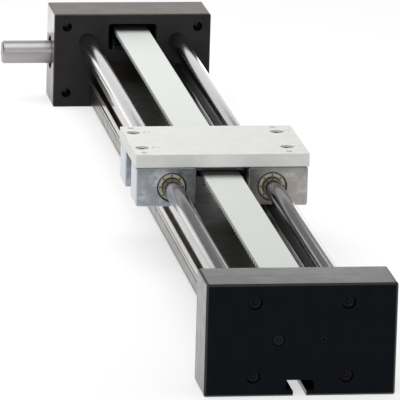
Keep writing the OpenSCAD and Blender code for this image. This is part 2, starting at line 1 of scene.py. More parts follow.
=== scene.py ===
"""Dresses the belt driven linear axis: finishes, fasteners, fine turned pieces and studio."""

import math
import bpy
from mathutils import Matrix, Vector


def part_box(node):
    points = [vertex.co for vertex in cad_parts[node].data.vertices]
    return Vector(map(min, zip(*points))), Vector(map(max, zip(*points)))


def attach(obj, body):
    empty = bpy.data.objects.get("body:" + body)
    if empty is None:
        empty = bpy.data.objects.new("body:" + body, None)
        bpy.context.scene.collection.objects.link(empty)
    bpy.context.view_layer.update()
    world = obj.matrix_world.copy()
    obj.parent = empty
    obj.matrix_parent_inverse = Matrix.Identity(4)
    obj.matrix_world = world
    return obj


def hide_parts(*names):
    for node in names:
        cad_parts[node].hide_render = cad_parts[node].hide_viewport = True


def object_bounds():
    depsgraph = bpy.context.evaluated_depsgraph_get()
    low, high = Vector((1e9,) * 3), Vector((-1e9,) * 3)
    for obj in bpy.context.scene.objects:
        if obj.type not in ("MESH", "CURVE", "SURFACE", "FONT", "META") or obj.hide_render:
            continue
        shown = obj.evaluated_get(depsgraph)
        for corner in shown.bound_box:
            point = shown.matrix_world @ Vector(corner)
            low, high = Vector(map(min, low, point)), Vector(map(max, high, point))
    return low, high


bl_info = {
    "name": "Belt Driven Linear Axis",
    "version": (1, 0, 0),
    "blender": (4, 5, 0),
    "location": "3D View > Sidebar > Linear Axis",
    "description": "Finishes and fine pieces for a belt driven linear axis with two guide rods",
    "category": "Object",
}

from collections import namedtuple

import bmesh
import bpy
from mathutils import Matrix, Vector

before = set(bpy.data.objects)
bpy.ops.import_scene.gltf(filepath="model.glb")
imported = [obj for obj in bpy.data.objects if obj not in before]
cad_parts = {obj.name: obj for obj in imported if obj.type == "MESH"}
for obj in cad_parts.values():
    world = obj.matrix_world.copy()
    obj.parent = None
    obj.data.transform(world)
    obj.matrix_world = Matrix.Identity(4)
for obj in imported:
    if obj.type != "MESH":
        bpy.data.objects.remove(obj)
CAD_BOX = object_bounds()

MM = 0.001
UP = Matrix.Identity(4)
DOWN = Matrix.Rotation(math.radians(180), 4, "X")
TO_FRONT = Matrix.Rotation(math.radians(90), 4, "X")
TO_REAR = Matrix.Rotation(math.radians(-90), 4, "X")
TO_RIGHT = Matrix.Rotation(math.radians(90), 4, "Y")
TO_LEFT = Matrix.Rotation(math.radians(-90), 4, "Y")

# Nodes that share a finish
CORNERS = ("front_left", "front_right", "rear_left", "rear_right")
BEARINGS = (
    "idler_bearing_inner_rings",
    "idler_bearing_outer_rings",
    "idler_bearing_balls",
    "drive_bearing_outer_rings",
    "drive_bearing_inner_rings",
    "drive_bearing_balls",
)
BLACKENED = (
    "bearing_retaining_rings",
    "pulley_retaining_rings",
    "tension_push_screw",
    "rod_set_screws",
    "profile_screws",
    "rail_screws",
)

# Socket head screws by radius and height of the head, and radius and length of the shank, in mm
Screw = namedtuple("Screw", "head_r head_h shank_r shank_l")
PLATE_SCREW = Screw(5, 6, 3, 14)
END_SCREW = Screw(5, 6, 3, 27)
TENSION_SCREW = Screw(4.25, 3.3, 2.5, 12.5)
COVER_SCREW = Screw(3.5, 2, 2, 12)
# Without the length, which comes from the distance of the two clamps
CLAMP_SCREW = (3.5, 4, 2)

# Radii in mm: counterbores of the plate, dowels, shaft bearing seals, wipers of the ball bushings
COUNTERBORE_R = 5.5
DOWEL_R = 3
SEAL_INNER_R = 12.12
SEAL_OUTER_R = 13.88
WIPER_OUTER_R = 8.43

# Brightness of the profile's side, from each share of its height on: edge, foot, fine groove,
# land, lips of the slot, land. Edge and foot are painted shade, the fine groove a painted
# dark line and the lips of the slot painted shadow
SIDE_LIGHT_AND_SHADE_BANDS = ((0.0, 0.15), (0.1, 0.36), (0.28, 0.02), (0.34, 1.0), (0.575, 0.0), (0.845, 1.0))

# Lines per metre along X, Y and Z of the marks that tools leave
DRAWN_ALONG_Y = (300.0, 1.0, 300.0)
GROUND_ALONG_Y = (900.0, 60.0, 900.0)
MILLED_ALONG_Y = (900.0, 30.0, 900.0)
GROUND_ALONG_X = (60.0, 900.0, 900.0)
TURNED_ROUND_X = (2600.0, 30.0, 30.0)
TEETH_ROUND_X = (1200.0, 60.0, 60.0)
RACE_MARKS = (40.0, 1500.0, 1500.0)
BORED_MARKS = (900.0, 900.0, 60.0)
CORD_LINES = (700.0, 1.0, 60.0)

# Colours of worn edges
WORN_BLACK = (0.06, 0.062, 0.065, 1.0)
WORN_SCREW_BLACK = (0.06, 0.06, 0.06, 1.0)
WORN_ALUMINIUM = (0.86, 0.86, 0.86, 1.0)

# The studio, in metres, how much the floor glows to the eye, and the camera's turns in radians
FLOOR_HALF = 30.0
FLOOR_DROP = 0.2 * MM
FLOOR_GLOW = 0.6
BACKDROP_R = 28.0
BACKDROP_HEIGHT = 2.6
OBJECT_MIDDLE_Y = 0.5
CAMERA_PLACE = (-0.67082, -3.80648, 1.12962)
CAMERA_YAW = 0.153415
CAMERA_PITCH = 0.247256
CAMERA_ROLL = 0.027846


# ---------- properties ----------


def length(name, description, default_mm):
    """A length that is given here in millimetres and kept in metres."""
    return bpy.props.FloatProperty(
        name=name,
        description=description,
        default=default_mm * MM,
        min=0.0,
        precision=5,
        unit="LENGTH",
    )


def factor(name, description, default):
    return bpy.props.FloatProperty(
        name=name, description=description, default=default, min=0.0, max=2.0, subtype="FACTOR"
    )


def brightness(name, description, default):
    return bpy.props.FloatProperty(name=name, description=description, default=default, min=0.0)


def colour(name, description, default):
    return bpy.props.FloatVectorProperty(
        name=name,
        description=description,
        default=default,
        size=3,
        min=0.0,
        max=1.0,
        subtype="COLOR",
    )


class AxisFinishes(bpy.types.PropertyGroup):
    """Colours of the axis and the wear on its edges."""

    anodised: colour("Black anodising", "End blocks", (0.0095, 0.0115, 0.0137))
    profile: colour("Profile", "Extruded base profile", (0.010, 0.009, 0.0083))
    plate: colour("Carriage plate", "Milled carriage plate", (0.86, 0.87, 0.84))
    blocks: colour("Bearing blocks", "Etched bearing blocks", (0.52, 0.555, 0.6))
    belt: colour("Belt", "Polyurethane of the belt", (0.79, 0.82, 0.785))
    cage: colour("Bushing cages", "Moulded cages of the ball bushings", (0.62, 0.58, 0.43))
    rods: colour("Ground rods", "Guide rods and drive shaft", (0.47, 0.455, 0.455))
    blackened: colour("Blackened steel", "Screws and retaining rings", (0.012, 0.012, 0.013))
    edge_wear: factor("Edge wear", "How bright the worn edges are", 0.3)


class AxisSizes(bpy.types.PropertyGroup):
    """Sizes of the fine pieces."""

    edge_round: length("Edge rounding", "Rounding of milled edges", 0.35)
    head_edge: length("Screw head edge", "Rounding of the screw heads", 0.5)
    rim_width: length("Rim width", "Width of the bright rims round the counterbores", 0.4)
    seal_gap: length("Seal gap", "Gap between a wiper and its rod", 0.06)


class StudioSettings(bpy.types.PropertyGroup):
    """Camera and light."""

    lens: bpy.props.FloatProperty(
        name="Lens",
        description="Focal length on a 36 mm sensor, in millimetres",
        default=468.0,
        min=50.0,
    )
    horizon: factor("Light at the horizon", "Strength of the light that comes in low", 0.24)
    zenith: factor("Light from above", "Strength of the light from straight above", 0.85)
    key: brightness("Key light", "Brightness of the soft box above", 1.7)
    fill: brightness("Fill", "Brightness of the large card in front", 2.4)
    card: brightness("Card", "Brightness of the card behind, which the rods mirror", 0.9)
    strip: brightness("Strip", "Brightness of the strip light behind", 1.5)


# ---------- modelling helpers ----------


def piece(name, bm, material, body, replaces=()):
    """Makes a finished object of a bmesh and lets it ride on its body."""
    bmesh.ops.remove_doubles(bm, verts=bm.verts, dist=1e-7)
    bmesh.ops.recalc_face_normals(bm, faces=bm.faces)
    mesh = bpy.data.meshes.new(name)
    bm.to_mesh(mesh)
    bm.free()
    mesh.shade_smooth()
    mesh.set_sharp_from_angle(angle=math.radians(32))
    mesh.materials.append(material)
    obj = bpy.data.objects.new(name, mesh)
    bpy.context.scene.collection.objects.link(obj)
    if replaces:
        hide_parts(*replaces)
    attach(obj, body)
    return obj


def turned(points, steps=48):
    """A bmesh of a profile of (radius, height) points turned round Z."""
    bm = bmesh.new()
    verts = [bm.verts.new((radius, 0.0, height)) for radius, height in points]
    edges = [bm.edges.new(pair) for pair in zip(verts, verts[1:])]
    bmesh.ops.spin(
        bm, geom=verts + edges, axis=(0, 0, 1), angle=math.tau, steps=steps, use_merge=True
    )
    return bm


def repeated(bm, places):
    """Copies a bmesh to each place and returns the copies as one bmesh."""
    template = bpy.data.meshes.new("template")
    bm.to_mesh(template)
    bm.free()
    copies = bmesh.new()
    for place in places:
        start = len(copies.verts)
        copies.from_mesh(template)
        copies.verts.ensure_lookup_table()
        bmesh.ops.transform(copies, matrix=place, verts=copies.verts[start:])
    bpy.data.meshes.remove(template)
    return copies


def pull_ring(bm, ring, scale, rise):
    """Extrudes a ring of edges, scales it about Z and lifts it. Returns the new ring."""
    made = bmesh.ops.extrude_edge_only(bm, edges=ring)["geom"]
    verts = [part for part in made if isinstance(part, bmesh.types.BMVert)]
    bmesh.ops.scale(bm, vec=(scale, scale, 1), verts=verts)
    bmesh.ops.translate(bm, vec=(0, 0, rise), verts=verts)
    new = set(verts)
    edges = [part for part in made if isinstance(part, bmesh.types.BMEdge)]
    return [edge for edge in edges if set(edge.verts) <= new]


def circle_edges(bm, radius, segments, height=0.0):
    place = Matrix.Translation((0, 0, height))
    made = bmesh.ops.create_circle(bm, segments=segments, radius=radius, matrix=place)
    return list({edge for vert in made["verts"] for edge in vert.link_edges})


def socket_screw(head_r, head_h, shank_r, shank_l, edge):
    """A socket head screw with its head's top at the origin and its shank along -Z."""
    bm = bmesh.new()
    flat_r = head_r - edge
    shoulder_r = head_r - edge * 0.3
    under_r = head_r - edge * 0.4
    hex_r = shank_r * 0.97
    mouth_r = hex_r * 1.12
    tip_l = shank_r * 0.2
    outer = circle_edges(bm, flat_r, 36)
    mouth = circle_edges(bm, mouth_r, 36)
    bmesh.ops.bridge_loops(bm, edges=outer + mouth)
    ring = pull_ring(bm, outer, shoulder_r / flat_r, -edge * 0.3)
    ring = pull_ring(bm, ring, head_r / shoulder_r, -edge * 0.7)
    ring = pull_ring(bm, ring, 1, -(head_h - edge * 1.2))
    ring = pull_ring(bm, ring, under_r / head_r, -edge * 0.2)
    ring = pull_ring(bm, ring, shank_r / under_r, 0)
    ring = pull_ring(bm, ring, 1, -(shank_l - tip_l))
    ring = pull_ring(bm, ring, 0.8, -tip_l)
    bmesh.ops.edgeloop_fill(bm, edges=ring)
    hexagon = circle_edges(bm, hex_r, 6, -edge * 0.5)
    bmesh.ops.bridge_loops(bm, edges=mouth + hexagon)
    ring = pull_ring(bm, hexagon, 1, -head_h * 0.5)
    ring = pull_ring(bm, ring, 0.1, -shank_r * 0.3)
    bmesh.ops.edgeloop_fill(bm, edges=ring)
    return bm


def place(turn, x, y, z):
    return Matrix.Translation((x, y, z)) @ turn


def corner_points(node, radius):
    """The (x, y) of four upright pieces of one radius at the corners of their node."""
    low, high = box(node)
    columns = (low.x + radius, high.x - radius)
    return [(x, y) for x in columns for y in (low.y + radius, high.y - radius)]


def corner_places(node, head_r, turn):
    """Places of the four screws of a node, with the heads on the side that they look to."""
    low, high = box(node)
    if turn in (UP, DOWN):
        height = high.z if turn == UP else low.z
        return [place(turn, x, y, height) for x, y in corner_points(node, head_r)]
    face = low.y if turn == TO_FRONT else high.y
    columns = (low.x + head_r, high.x - head_r)
    return [place(turn, x, face, z) for x in columns for z in (low.z + head_r, high.z - head_r)]


def box(node):
    low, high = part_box(node)
    return Vector(low), Vector(high)


def middle(node):
    low, high = box(node)
    return (low + high) / 2


def dress(nodes, material):
    """Gives CAD nodes their material."""
    for node in nodes:
        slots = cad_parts[node].data.materials
        slots.clear()
        slots.append(material)


# ---------- shader groups ----------


def new_group(name, inputs, outputs):
    """A shader group. inputs and outputs are (name, socket type, default or None)."""
    group = bpy.data.node_groups.new(name, "ShaderNodeTree")
    for label, kind, default in inputs:
        socket = group.interface.new_socket(label, in_out="INPUT", socket_type=kind)
        if default is not None:
            socket.default_value = default
    for label, kind in outputs:
        group.interface.new_socket(label, in_out="OUTPUT", socket_type=kind)
    return group, group.nodes.new("NodeGroupInput"), group.nodes.new("NodeGroupOutput")


def math_node(tree, operation, first, second=None, clamp=False):
    node = tree.nodes.new("ShaderNodeMath")
    node.operation = operation
    node.use_clamp = clamp
    for socket, value in zip(node.inputs, (first, second)):
        connect(tree, value, socket)
    return node.outputs["Value"]


def connect(tree, value, socket):
    """Links a socket to another one or gives it a plain value."""
    if value is None:
        return
    if isinstance(value, bpy.types.NodeSocket):
        tree.links.new(value, socket)
    else:
        socket.default_value = value


def edge_group():
    """Rounds machined edges in the shading and masks them for wear and, on the bearing blocks, for
    a painted dark outline.
    """
    name = "Machined edges"
    if name in bpy.data.node_groups:
        return bpy.data.node_groups[name]
    group, given, result = new_group(
        name,
        [("Radius", "NodeSocketFloat", 0.0003)],
        [("Normal", "NodeSocketVector"), ("Edge", "NodeSocketFloat")],
    )
    bevel = group.nodes.new("ShaderNodeBevel")
    bevel.samples = 4
    group.links.new(given.outputs["Radius"], bevel.inputs["Radius"])
    geometry = group.nodes.new("ShaderNodeNewGeometry")
    dot = group.nodes.new("ShaderNodeVectorMath")
    dot.operation = "DOT_PRODUCT"
    group.links.new(bevel.outputs["Normal"], dot.inputs[0])
    group.links.new(geometry.outputs["Normal"], dot.inputs[1])
    contrast = 5.0
    bend = math_node(group, "SUBTRACT", 1.0, dot.outputs["Value"])
    edge = math_node(group, "MULTIPLY", bend, contrast, clamp=True)
    group.links.new(bevel.outputs["Normal"], result.inputs["Normal"])
    group.links.new(edge, result.inputs["Edge"])
    return group


def mottle_group():
    """Soft blotches and fine grain, on the piece's own coordinates."""
    name = "Etched mottle"
    if name in bpy.data.node_groups:
        return bpy.data.node_groups[name]
    group, given, result = new_group(
        name,
        [("Blotch Size", "NodeSocketFloat", 0.01), ("Grain Size", "NodeSocketFloat", 0.0004)],
        [("Blotch", "NodeSocketFloat"), ("Grain", "NodeSocketFloat")],
    )
    where = group.nodes.new("ShaderNodeTexCoord").outputs["Object"]
    for size, output, detail in (("Blotch Size", "Blotch", 3.0), ("Grain Size", "Grain", 1.0)):
        noise = group.nodes.new("ShaderNodeTexNoise")
        noise.inputs["Detail"].default_value = detail
        group.links.new(where, noise.inputs["Vector"])
        scale = math_node(group, "DIVIDE", 1.0, given.outputs[size])
        group.links.new(scale, noise.inputs["Scale"])
        group.links.new(noise.outputs["Fac"], result.inputs[output])
    return group


def streak_group():
    """Fine lines along one direction: drawing, milling, grinding and turning marks."""
    name = "Tool marks"
    if name in bpy.data.node_groups:
        return bpy.data.node_groups[name]
    group, given, result = new_group(
        name,
        [("Lines per metre", "NodeSocketVector", (900.0, 4.0, 900.0))],
        [("Line", "NodeSocketFloat")],
    )
    where = group.nodes.new("ShaderNodeTexCoord").outputs["Object"]
    stretch = group.nodes.new("ShaderNodeVectorMath")
    stretch.operation = "MULTIPLY"
    group.links.new(where, stretch.inputs[0])
    group.links.new(given.outputs["Lines per metre"], stretch.inputs[1])
    noise = group.nodes.new("ShaderNodeTexNoise")
    noise.inputs["Scale"].default_value = 1.0
    noise.inputs["Detail"].default_value = 2.0
    group.links.new(stretch.outputs["Vector"], noise.inputs["Vector"])
    group.links.new(noise.outputs["Fac"], result.inputs["Line"])
    return group


def shelter_group(own=False):
    """0 deep in a hole or corner and 1 on open faces, which the finishes use for painted shade.
    With own, other pieces don't count.
    """
    name = "Own shelter" if own else "Shelter"
    if name in bpy.data.node_groups:
        return bpy.data.node_groups[name]
    group, given, result = new_group(
        name, [("Reach", "NodeSocketFloat", 0.004)], [("Open", "NodeSocketFloat")]
    )
    occlusion = group.nodes.new("ShaderNodeAmbientOcclusion")
    occlusion.samples = 8
    occlusion.only_local = own
    group.links.new(given.outputs["Reach"], occlusion.inputs["Distance"])
    contrast = 1.6
    open_part = math_node(group, "MULTIPLY_ADD", occlusion.outputs["AO"], contrast)
    open_part.node.inputs[2].default_value = 1.0 - contrast
    open_part.node.use_clamp = True
    group.links.new(open_part, result.inputs["Open"])
    return group


def side_group():
    """Long: 1 on faces that look along X or Z, 0 along Y. Side: 1 on faces that look along X."""
    name = "Long faces"
    if name in bpy.data.node_groups:
        return bpy.data.node_groups[name]
    group, _, result = new_group(
        name, [], [("Long", "NodeSocketFloat"), ("Side", "NodeSocketFloat")]
    )
    split = group.nodes.new("ShaderNodeSeparateXYZ")
    geometry = group.nodes.new("ShaderNodeNewGeometry")
    group.links.new(geometry.outputs["True Normal"], split.inputs["Vector"])
    steep = math_node(group, "ABSOLUTE", split.outputs["Y"])
    soft = group.nodes.new("ShaderNodeMapRange")
    soft.interpolation_type = "SMOOTHSTEP"
    soft.inputs["From Min"].default_value = 0.6
    soft.inputs["From Max"].default_value = 0.95
    soft.inputs["To Min"].default_value = 1.0
    soft.inputs["To Max"].default_value = 0.0
    group.links.new(steep, soft.inputs["Value"])
    group.links.new(soft.outputs["Result"], result.inputs["Long"])
    sideways = math_node(group, "ABSOLUTE", split.outputs["X"])
    group.links.new(math_node(group, "GREATER_THAN", sideways, 0.8), result.inputs["Side"])
    return group


class Finish:
    """A material under construction: its Principled shader and short ways to feed it."""

    def __init__(self, name, **sockets):
        self.material = bpy.data.materials.new(name)
        self.material.use_nodes = True
        self.tree = self.material.node_tree
        self.shader = self.tree.nodes["Principled BSDF"]
        for label, value in sockets.items():
            self.shader.inputs[label.replace("_", " ")].default_value = value

    def group(self, group, **values):
        node = self.tree.nodes.new("ShaderNodeGroup")
        node.node_tree = group
        for label, value in values.items():
            node.inputs[label.replace("_", " ")].default_value = value
        return node.outputs

    def feed(self, label, value):
        connect(self.tree, value, self.shader.inputs[label])

    def spread(self, mask, low, high, mask_low=0.3, mask_high=0.7):
        """Maps a mask to a range of values."""
        node = self.tree.nodes.new("ShaderNodeMapRange")
        node.inputs["From Min"].default_value = mask_low
        node.inputs["From Max"].default_value = mask_high
        node.inputs["To Min"].default_value = low
        node.inputs["To Max"].default_value = high
        self.tree.links.new(mask, node.inputs["Value"])
        return node.outputs["Result"]

    def mix(self, mask, first, second):
        """Mixes two colours by a mask."""
        node = self.tree.nodes.new("ShaderNodeMix")
        node.data_type = "RGBA"
        self.tree.links.new(mask, node.inputs["Factor"])
        for label, value in (("A", first), ("B", second)):
            socket = next(s for s in node.inputs if s.name == label and s.type == "RGBA")
            connect(self.tree, value, socket)
        return next(s for s in node.outputs if s.type == "RGBA")

    def times(self, first, second):
        return math_node(self.tree, "MULTIPLY", first, second)

    def choose(self, mask, first, second):
        """Mixes two values by a mask."""
        node = self.tree.nodes.new("ShaderNodeMix")
        node.data_type = "FLOAT"
        self.tree.links.new(mask, node.inputs[0])
        connect(self.tree, first, node.inputs[2])
        connect(self.tree, second, node.inputs[3])
        return node.outputs[0]

    def along(self, axis):
        """The distance along one of the piece's own axes."""
        split = self.tree.nodes.new("ShaderNodeSeparateXYZ")
        where = self.tree.nodes.new("ShaderNodeTexCoord").outputs["Object"]
        self.tree.links.new(where, split.inputs["Vector"])
        return split.outputs[axis]

    def bands(self, value, steps):
        """Steps of brightness, each from its place on."""
        node = self.tree.nodes.new("ShaderNodeValToRGB")
        node.color_ramp.interpolation = "CONSTANT"
        stops = node.color_ramp.elements
        while len(stops) < len(steps):
            stops.new(1.0)
        for stop, (start, level) in zip(stops, steps):
            stop.position = start
            stop.color = (level, level, level, 1.0)
        self.tree.links.new(value, node.inputs["Fac"])
        return node.outputs["Color"]

    def bump(self, height, distance, normal=None):
        node = self.tree.nodes.new("ShaderNodeBump")
        node.inputs["Distance"].default_value = distance
        self.tree.links.new(height, node.inputs["Height"])
        connect(self.tree, normal, node.inputs["Normal"])
        return node.outputs["Normal"]


def shade(rgb, times):
    """A colour with its brightness multiplied, as RGBA."""
    return tuple(min(1.0, part * times) for part in rgb) + (1.0,)


# ---------- finishes ----------


def black_anodising(name, rgb, top_coat, side_coat, blotch_mm, milled):
    """Etched, black anodised block: dull on its ends and glossy on its long faces.

    The long faces take the colour for milled faces, partly the milled face's own and partly a
    painted sheen over the black, and top_coat and side_coat are their gloss.
    """
    finishes = bpy.context.scene.axis_finishes
    finish = Finish(
        name,
        Roughness=0.5,
        Specular_IOR_Level=0.0,
        Coat_Roughness=0.12,
        Coat_IOR=1.5,
    )
    mottle = finish.group(mottle_group(), Blotch_Size=blotch_mm * MM, Grain_Size=0.35 * MM)
    edges = finish.group(edge_group(), Radius=bpy.context.scene.axis_sizes.edge_round)
    body = finish.mix(mottle["Blotch"], shade(rgb, 0.75), shade(rgb, 1.3))
    worn = finish.times(edges["Edge"], finishes.edge_wear)
    shelter = finish.group(shelter_group(own=True), Reach=9 * MM)["Open"]
    open_face = finish.mix(worn, body, WORN_BLACK)
    faces = finish.group(side_group())
    # Long faces take the lighter colour: partly the milled face, partly a painted sheen
    open_face = finish.mix(faces["Long"], open_face, (*milled, 1.0))
    # Painted shade: the colour darkens deep in holes and corners
    finish.feed("Base Color", finish.mix(shelter, shade(rgb, 0.1), open_face))
    finish.feed("Roughness", finish.spread(mottle["Blotch"], 0.45, 0.6))
    coat = finish.spread(faces["Side"], top_coat, side_coat, 0.0, 1.0)
    gloss = finish.times(coat, finish.spread(mottle["Blotch"], 0.88, 1.04))
    finish.feed("Coat Weight", finish.times(finish.times(faces["Long"], shelter), gloss))
    finish.feed("Normal", finish.bump(mottle["Grain"], 0.004 * MM, edges["Normal"]))
    return finish.material


def extruded_profile():
    """Black anodised extrusion. Its sides have a bright land, with painted shade as a fine dark
    groove line, on a dull foot and at the lips of the slot.
    """
    finishes = bpy.context.scene.axis_finishes
    rgb = tuple(finishes.profile)
    finish = Finish(
        "profile_anodising",
        Roughness=0.34,
        Specular_IOR_Level=0.3,
        Coat_Roughness=0.12,
        Coat_IOR=1.5,
        Coat_Tint=(1.0, 0.955, 0.91, 1.0),
    )
    low, high = box("base_profile")
    lines = finish.group(streak_group(), Lines_per_metre=DRAWN_ALONG_Y)
    mottle = finish.group(mottle_group(), Blotch_Size=12 * MM, Grain_Size=0.3 * MM)
    outer = math_node(finish.tree, "ABSOLUTE", finish.along("X"))
    outer = math_node(finish.tree, "GREATER_THAN", outer, high.x - 0.4 * MM)
    side = finish.times(finish.group(side_group())["Side"], outer)
    rise = finish.spread(finish.along("Z"), 0.0, 1.0, low.z, high.z)
    # Painted shade and shadow in these bands: the edge, the foot, the groove line and the slot's
    # lips
    land = finish.bands(rise, SIDE_LIGHT_AND_SHADE_BANDS)
    lined = finish.mix(lines["Line"], shade(rgb, 0.7), shade(rgb, 1.5))
    banded_side = finish.mix(land, shade(rgb, 1.0), (0.42, 0.42, 0.4, 1.0))
    finish.feed("Metallic", side)
    finish.feed("Base Color", finish.mix(side, lined, banded_side))
    finish.feed("Roughness", finish.spread(mottle["Blotch"], 0.28, 0.4))
    gloss = finish.choose(side, 0.95, finish.spread(land, 0.1, 1.0, 0.0, 1.0))
    finish.feed("Coat Weight", gloss)
    finish.feed("Normal", finish.bump(lines["Line"], 0.001 * MM))
    return finish.material


def milled_aluminium(
    name, rgb, roughness, lines_per_metre, reach_mm=5, sawn=1.0, milled=1.0, depth=0.12
):
    """Milled and clear anodised aluminium with the mill's fine marks.

    sawn and milled say how much its ends and its long faces mirror as metal does. Its holes
    darken to depth over reach_mm.
    """
    finishes = bpy.context.scene.axis_finishes
    finish = Finish(name, Metallic=1.0, Roughness=roughness)
    marks = finish.group(streak_group(), Lines_per_metre=lines_per_metre)
    mottle = finish.group(mottle_group(), Blotch_Size=9 * MM, Grain_Size=0.3 * MM)
    edges = finish.group(edge_group(), Radius=bpy.context.scene.axis_sizes.edge_round)
    shelter = finish.group(shelter_group(), Reach=reach_mm * MM)["Open"]
    body = finish.mix(mottle["Blotch"], shade(rgb, 0.93), shade(rgb, 1.05))
    worn = finish.times(edges["Edge"], finishes.edge_wear)
    open_face = finish.mix(worn, body, WORN_ALUMINIUM)
    # Painted shade: holes darken to depth over reach_mm
    finish.feed("Base Color", finish.mix(shelter, shade(rgb, depth), open_face))
    if sawn < 1:
        long_faces = finish.group(side_group())["Long"]
        finish.feed("Metallic", finish.spread(long_faces, sawn, milled, 0.0, 1.0))
    finish.feed("Roughness", finish.spread(marks["Line"], roughness - 0.05, roughness + 0.06))
    finish.feed("Normal", finish.bump(marks["Line"], 0.004 * MM, edges["Normal"]))
    return finish.material


def etched_aluminium(name, rgb, stain, inner):
    """Etched aluminium: cloudy and stained on its ends and brighter on its long faces.

    The ends take the colour inner towards the belt and under the carriage plate, as painted shade
    there, and a painted dark outline along their edges.
    """
    finish = Finish(name, Metallic=1.0, Roughness=0.38)
    top = box("bearing_block_front_left")[1].z
    long_faces = finish.group(side_group())["Long"]
    clouds = finish.group(mottle_group(), Blotch_Size=4.5 * MM, Grain_Size=0.5 * MM)["Blotch"]
    stains = finish.group(mottle_group(), Blotch_Size=12 * MM, Grain_Size=0.3 * MM)
    edges = finish.group(edge_group(), Radius=0.7 * MM)
    shelter = finish.group(shelter_group(), Reach=6 * MM)["Open"]
    # Painted shade: the ends darken to inner towards the belt
    from_middle = math_node(finish.tree, "ABSOLUTE", finish.along("X"))
    outward = finish.spread(from_middle, 0.0, 1.0, 18 * MM, 40 * MM)
    # Painted shadow: a band just under the carriage plate darkens to inner
    under_plate_shade = finish.spread(finish.along("Z"), 1.0, 0.35, top - 7 * MM, top)
    cloudy = finish.mix(finish.spread(clouds, 0.0, 1.0), shade(rgb, 0.72), shade(rgb, 1.2))
    stained = finish.spread(stains["Blotch"], 0.0, 1.0, 0.42, 0.6)
    body = finish.mix(finish.times(stained, outward), cloudy, shade(stain, 1.0))
    body = finish.mix(outward, shade(inner, 1.0), body)
    body = finish.mix(under_plate_shade, shade(inner, 1.0), body)
    body = finish.mix(long_faces, body, shade(rgb, 1.15))
    # Painted shade: a dark outline along the edges
    open_face = finish.mix(edges["Edge"], body, shade(rgb, 0.3))
    # Painted shade in holes and corners
    finish.feed("Base Color", finish.mix(shelter, shade(rgb, 0.05), open_face))
    finish.feed("Roughness", finish.spread(clouds, 0.3, 0.46))
    finish.feed("Normal", finish.bump(stains["Grain"], 0.006 * MM, edges["Normal"]))
    return finish.material


def ground_finish(name, rgb, roughness, lines_per_metre):
    """A finish of ground, hardened and polished steel with faint marks."""
    finish = Finish(name, Metallic=1.0, Roughness=roughness)
    marks = finish.group(streak_group(), Lines_per_metre=lines_per_metre)
    mottle = finish.group(mottle_group(), Blotch_Size=30 * MM, Grain_Size=0.5 * MM)
    finish.feed("Base Color", finish.mix(mottle["Blotch"], shade(rgb, 0.96), shade(rgb, 1.03)))
    finish.feed("Roughness", finish.spread(marks["Line"], roughness * 0.9, roughness * 1.15))
    finish.feed("Normal", finish.bump(marks["Line"], 0.0001 * MM))
    return finish


def ground_steel(name, rgb, roughness, lines_per_metre):
    return ground_finish(name, rgb, roughness, lines_per_metre).material


def shaded_rod_steel():
    """Ground steel with painted shade: darker towards the tension end, standing in for darker
    reflections there, and darker beside other pieces.
    """
    rgb = tuple(bpy.context.scene.axis_finishes.rods)
    finish = ground_finish("ground_rod_steel", rgb, 0.13, GROUND_ALONG_Y)
    low, high = box("guide_rod_left")
    # Painted shade: darker towards the tension end
    way_along = finish.spread(finish.along("Y"), 0.0, 1.0, low.y, high.y)
    body = finish.mix(way_along, shade(rgb, 0.55), shade(rgb, 1.05))
    # Painted shade within 60 mm of other pieces
    shelter = finish.group(shelter_group(), Reach=60 * MM)["Open"]
    finish.feed("Base Color", finish.mix(shelter, shade(rgb, 0.2), body))
    return finish.material


def blackened_steel():
    finishes = bpy.context.scene.axis_finishes
    rgb = tuple(finishes.blackened)
    finish = Finish("blackened_steel", Metallic=0.0, Roughness=0.4, Specular_IOR_Level=0.08)
    mottle = finish.group(mottle_group(), Blotch_Size=3 * MM, Grain_Size=0.25 * MM)
    edges = finish.group(edge_group(), Radius=0.15 * MM)
    body = finish.mix(mottle["Blotch"], shade(rgb, 0.7), shade(rgb, 1.4))
    worn = finish.times(edges["Edge"], finishes.edge_wear)
    finish.feed("Base Color", finish.mix(worn, body, WORN_SCREW_BLACK))
    finish.feed("Roughness", finish.spread(mottle["Grain"], 0.34, 0.48))
    finish.feed("Normal", finish.bump(mottle["Grain"], 0.003 * MM, edges["Normal"]))
    return finish.material


def belt_polyurethane():
    """White polyurethane over steel cords, which draw faint lines along it."""
    rgb = tuple(bpy.context.scene.axis_finishes.belt)
    finish = Finish("belt_polyurethane", Roughness=0.5, Specular_IOR_Level=0.2)
    cords = finish.group(streak_group(), Lines_per_metre=CORD_LINES)
    mottle = finish.group(mottle_group(), Blotch_Size=25 * MM, Grain_Size=0.4 * MM)
    edges = finish.group(edge_group(), Radius=0.4 * MM)
    shelter = finish.group(shelter_group(), Reach=16 * MM)["Open"]
    lined = finish.mix(cords["Line"], shade(rgb, 0.955), shade(rgb, 1.02))
    open_face = finish.mix(mottle["Blotch"], lined, shade(rgb, 0.985))
    # Painted shade: the belt darkens in the end blocks' pockets and close to other pieces
    finish.feed("Base Color", finish.mix(shelter, shade(rgb, 0.15), open_face))
    finish.feed("Roughness", finish.spread(mottle["Blotch"], 0.38, 0.5))
    finish.feed("Normal", finish.bump(cords["Line"], 0.02 * MM, edges["Normal"]))
    return finish.material


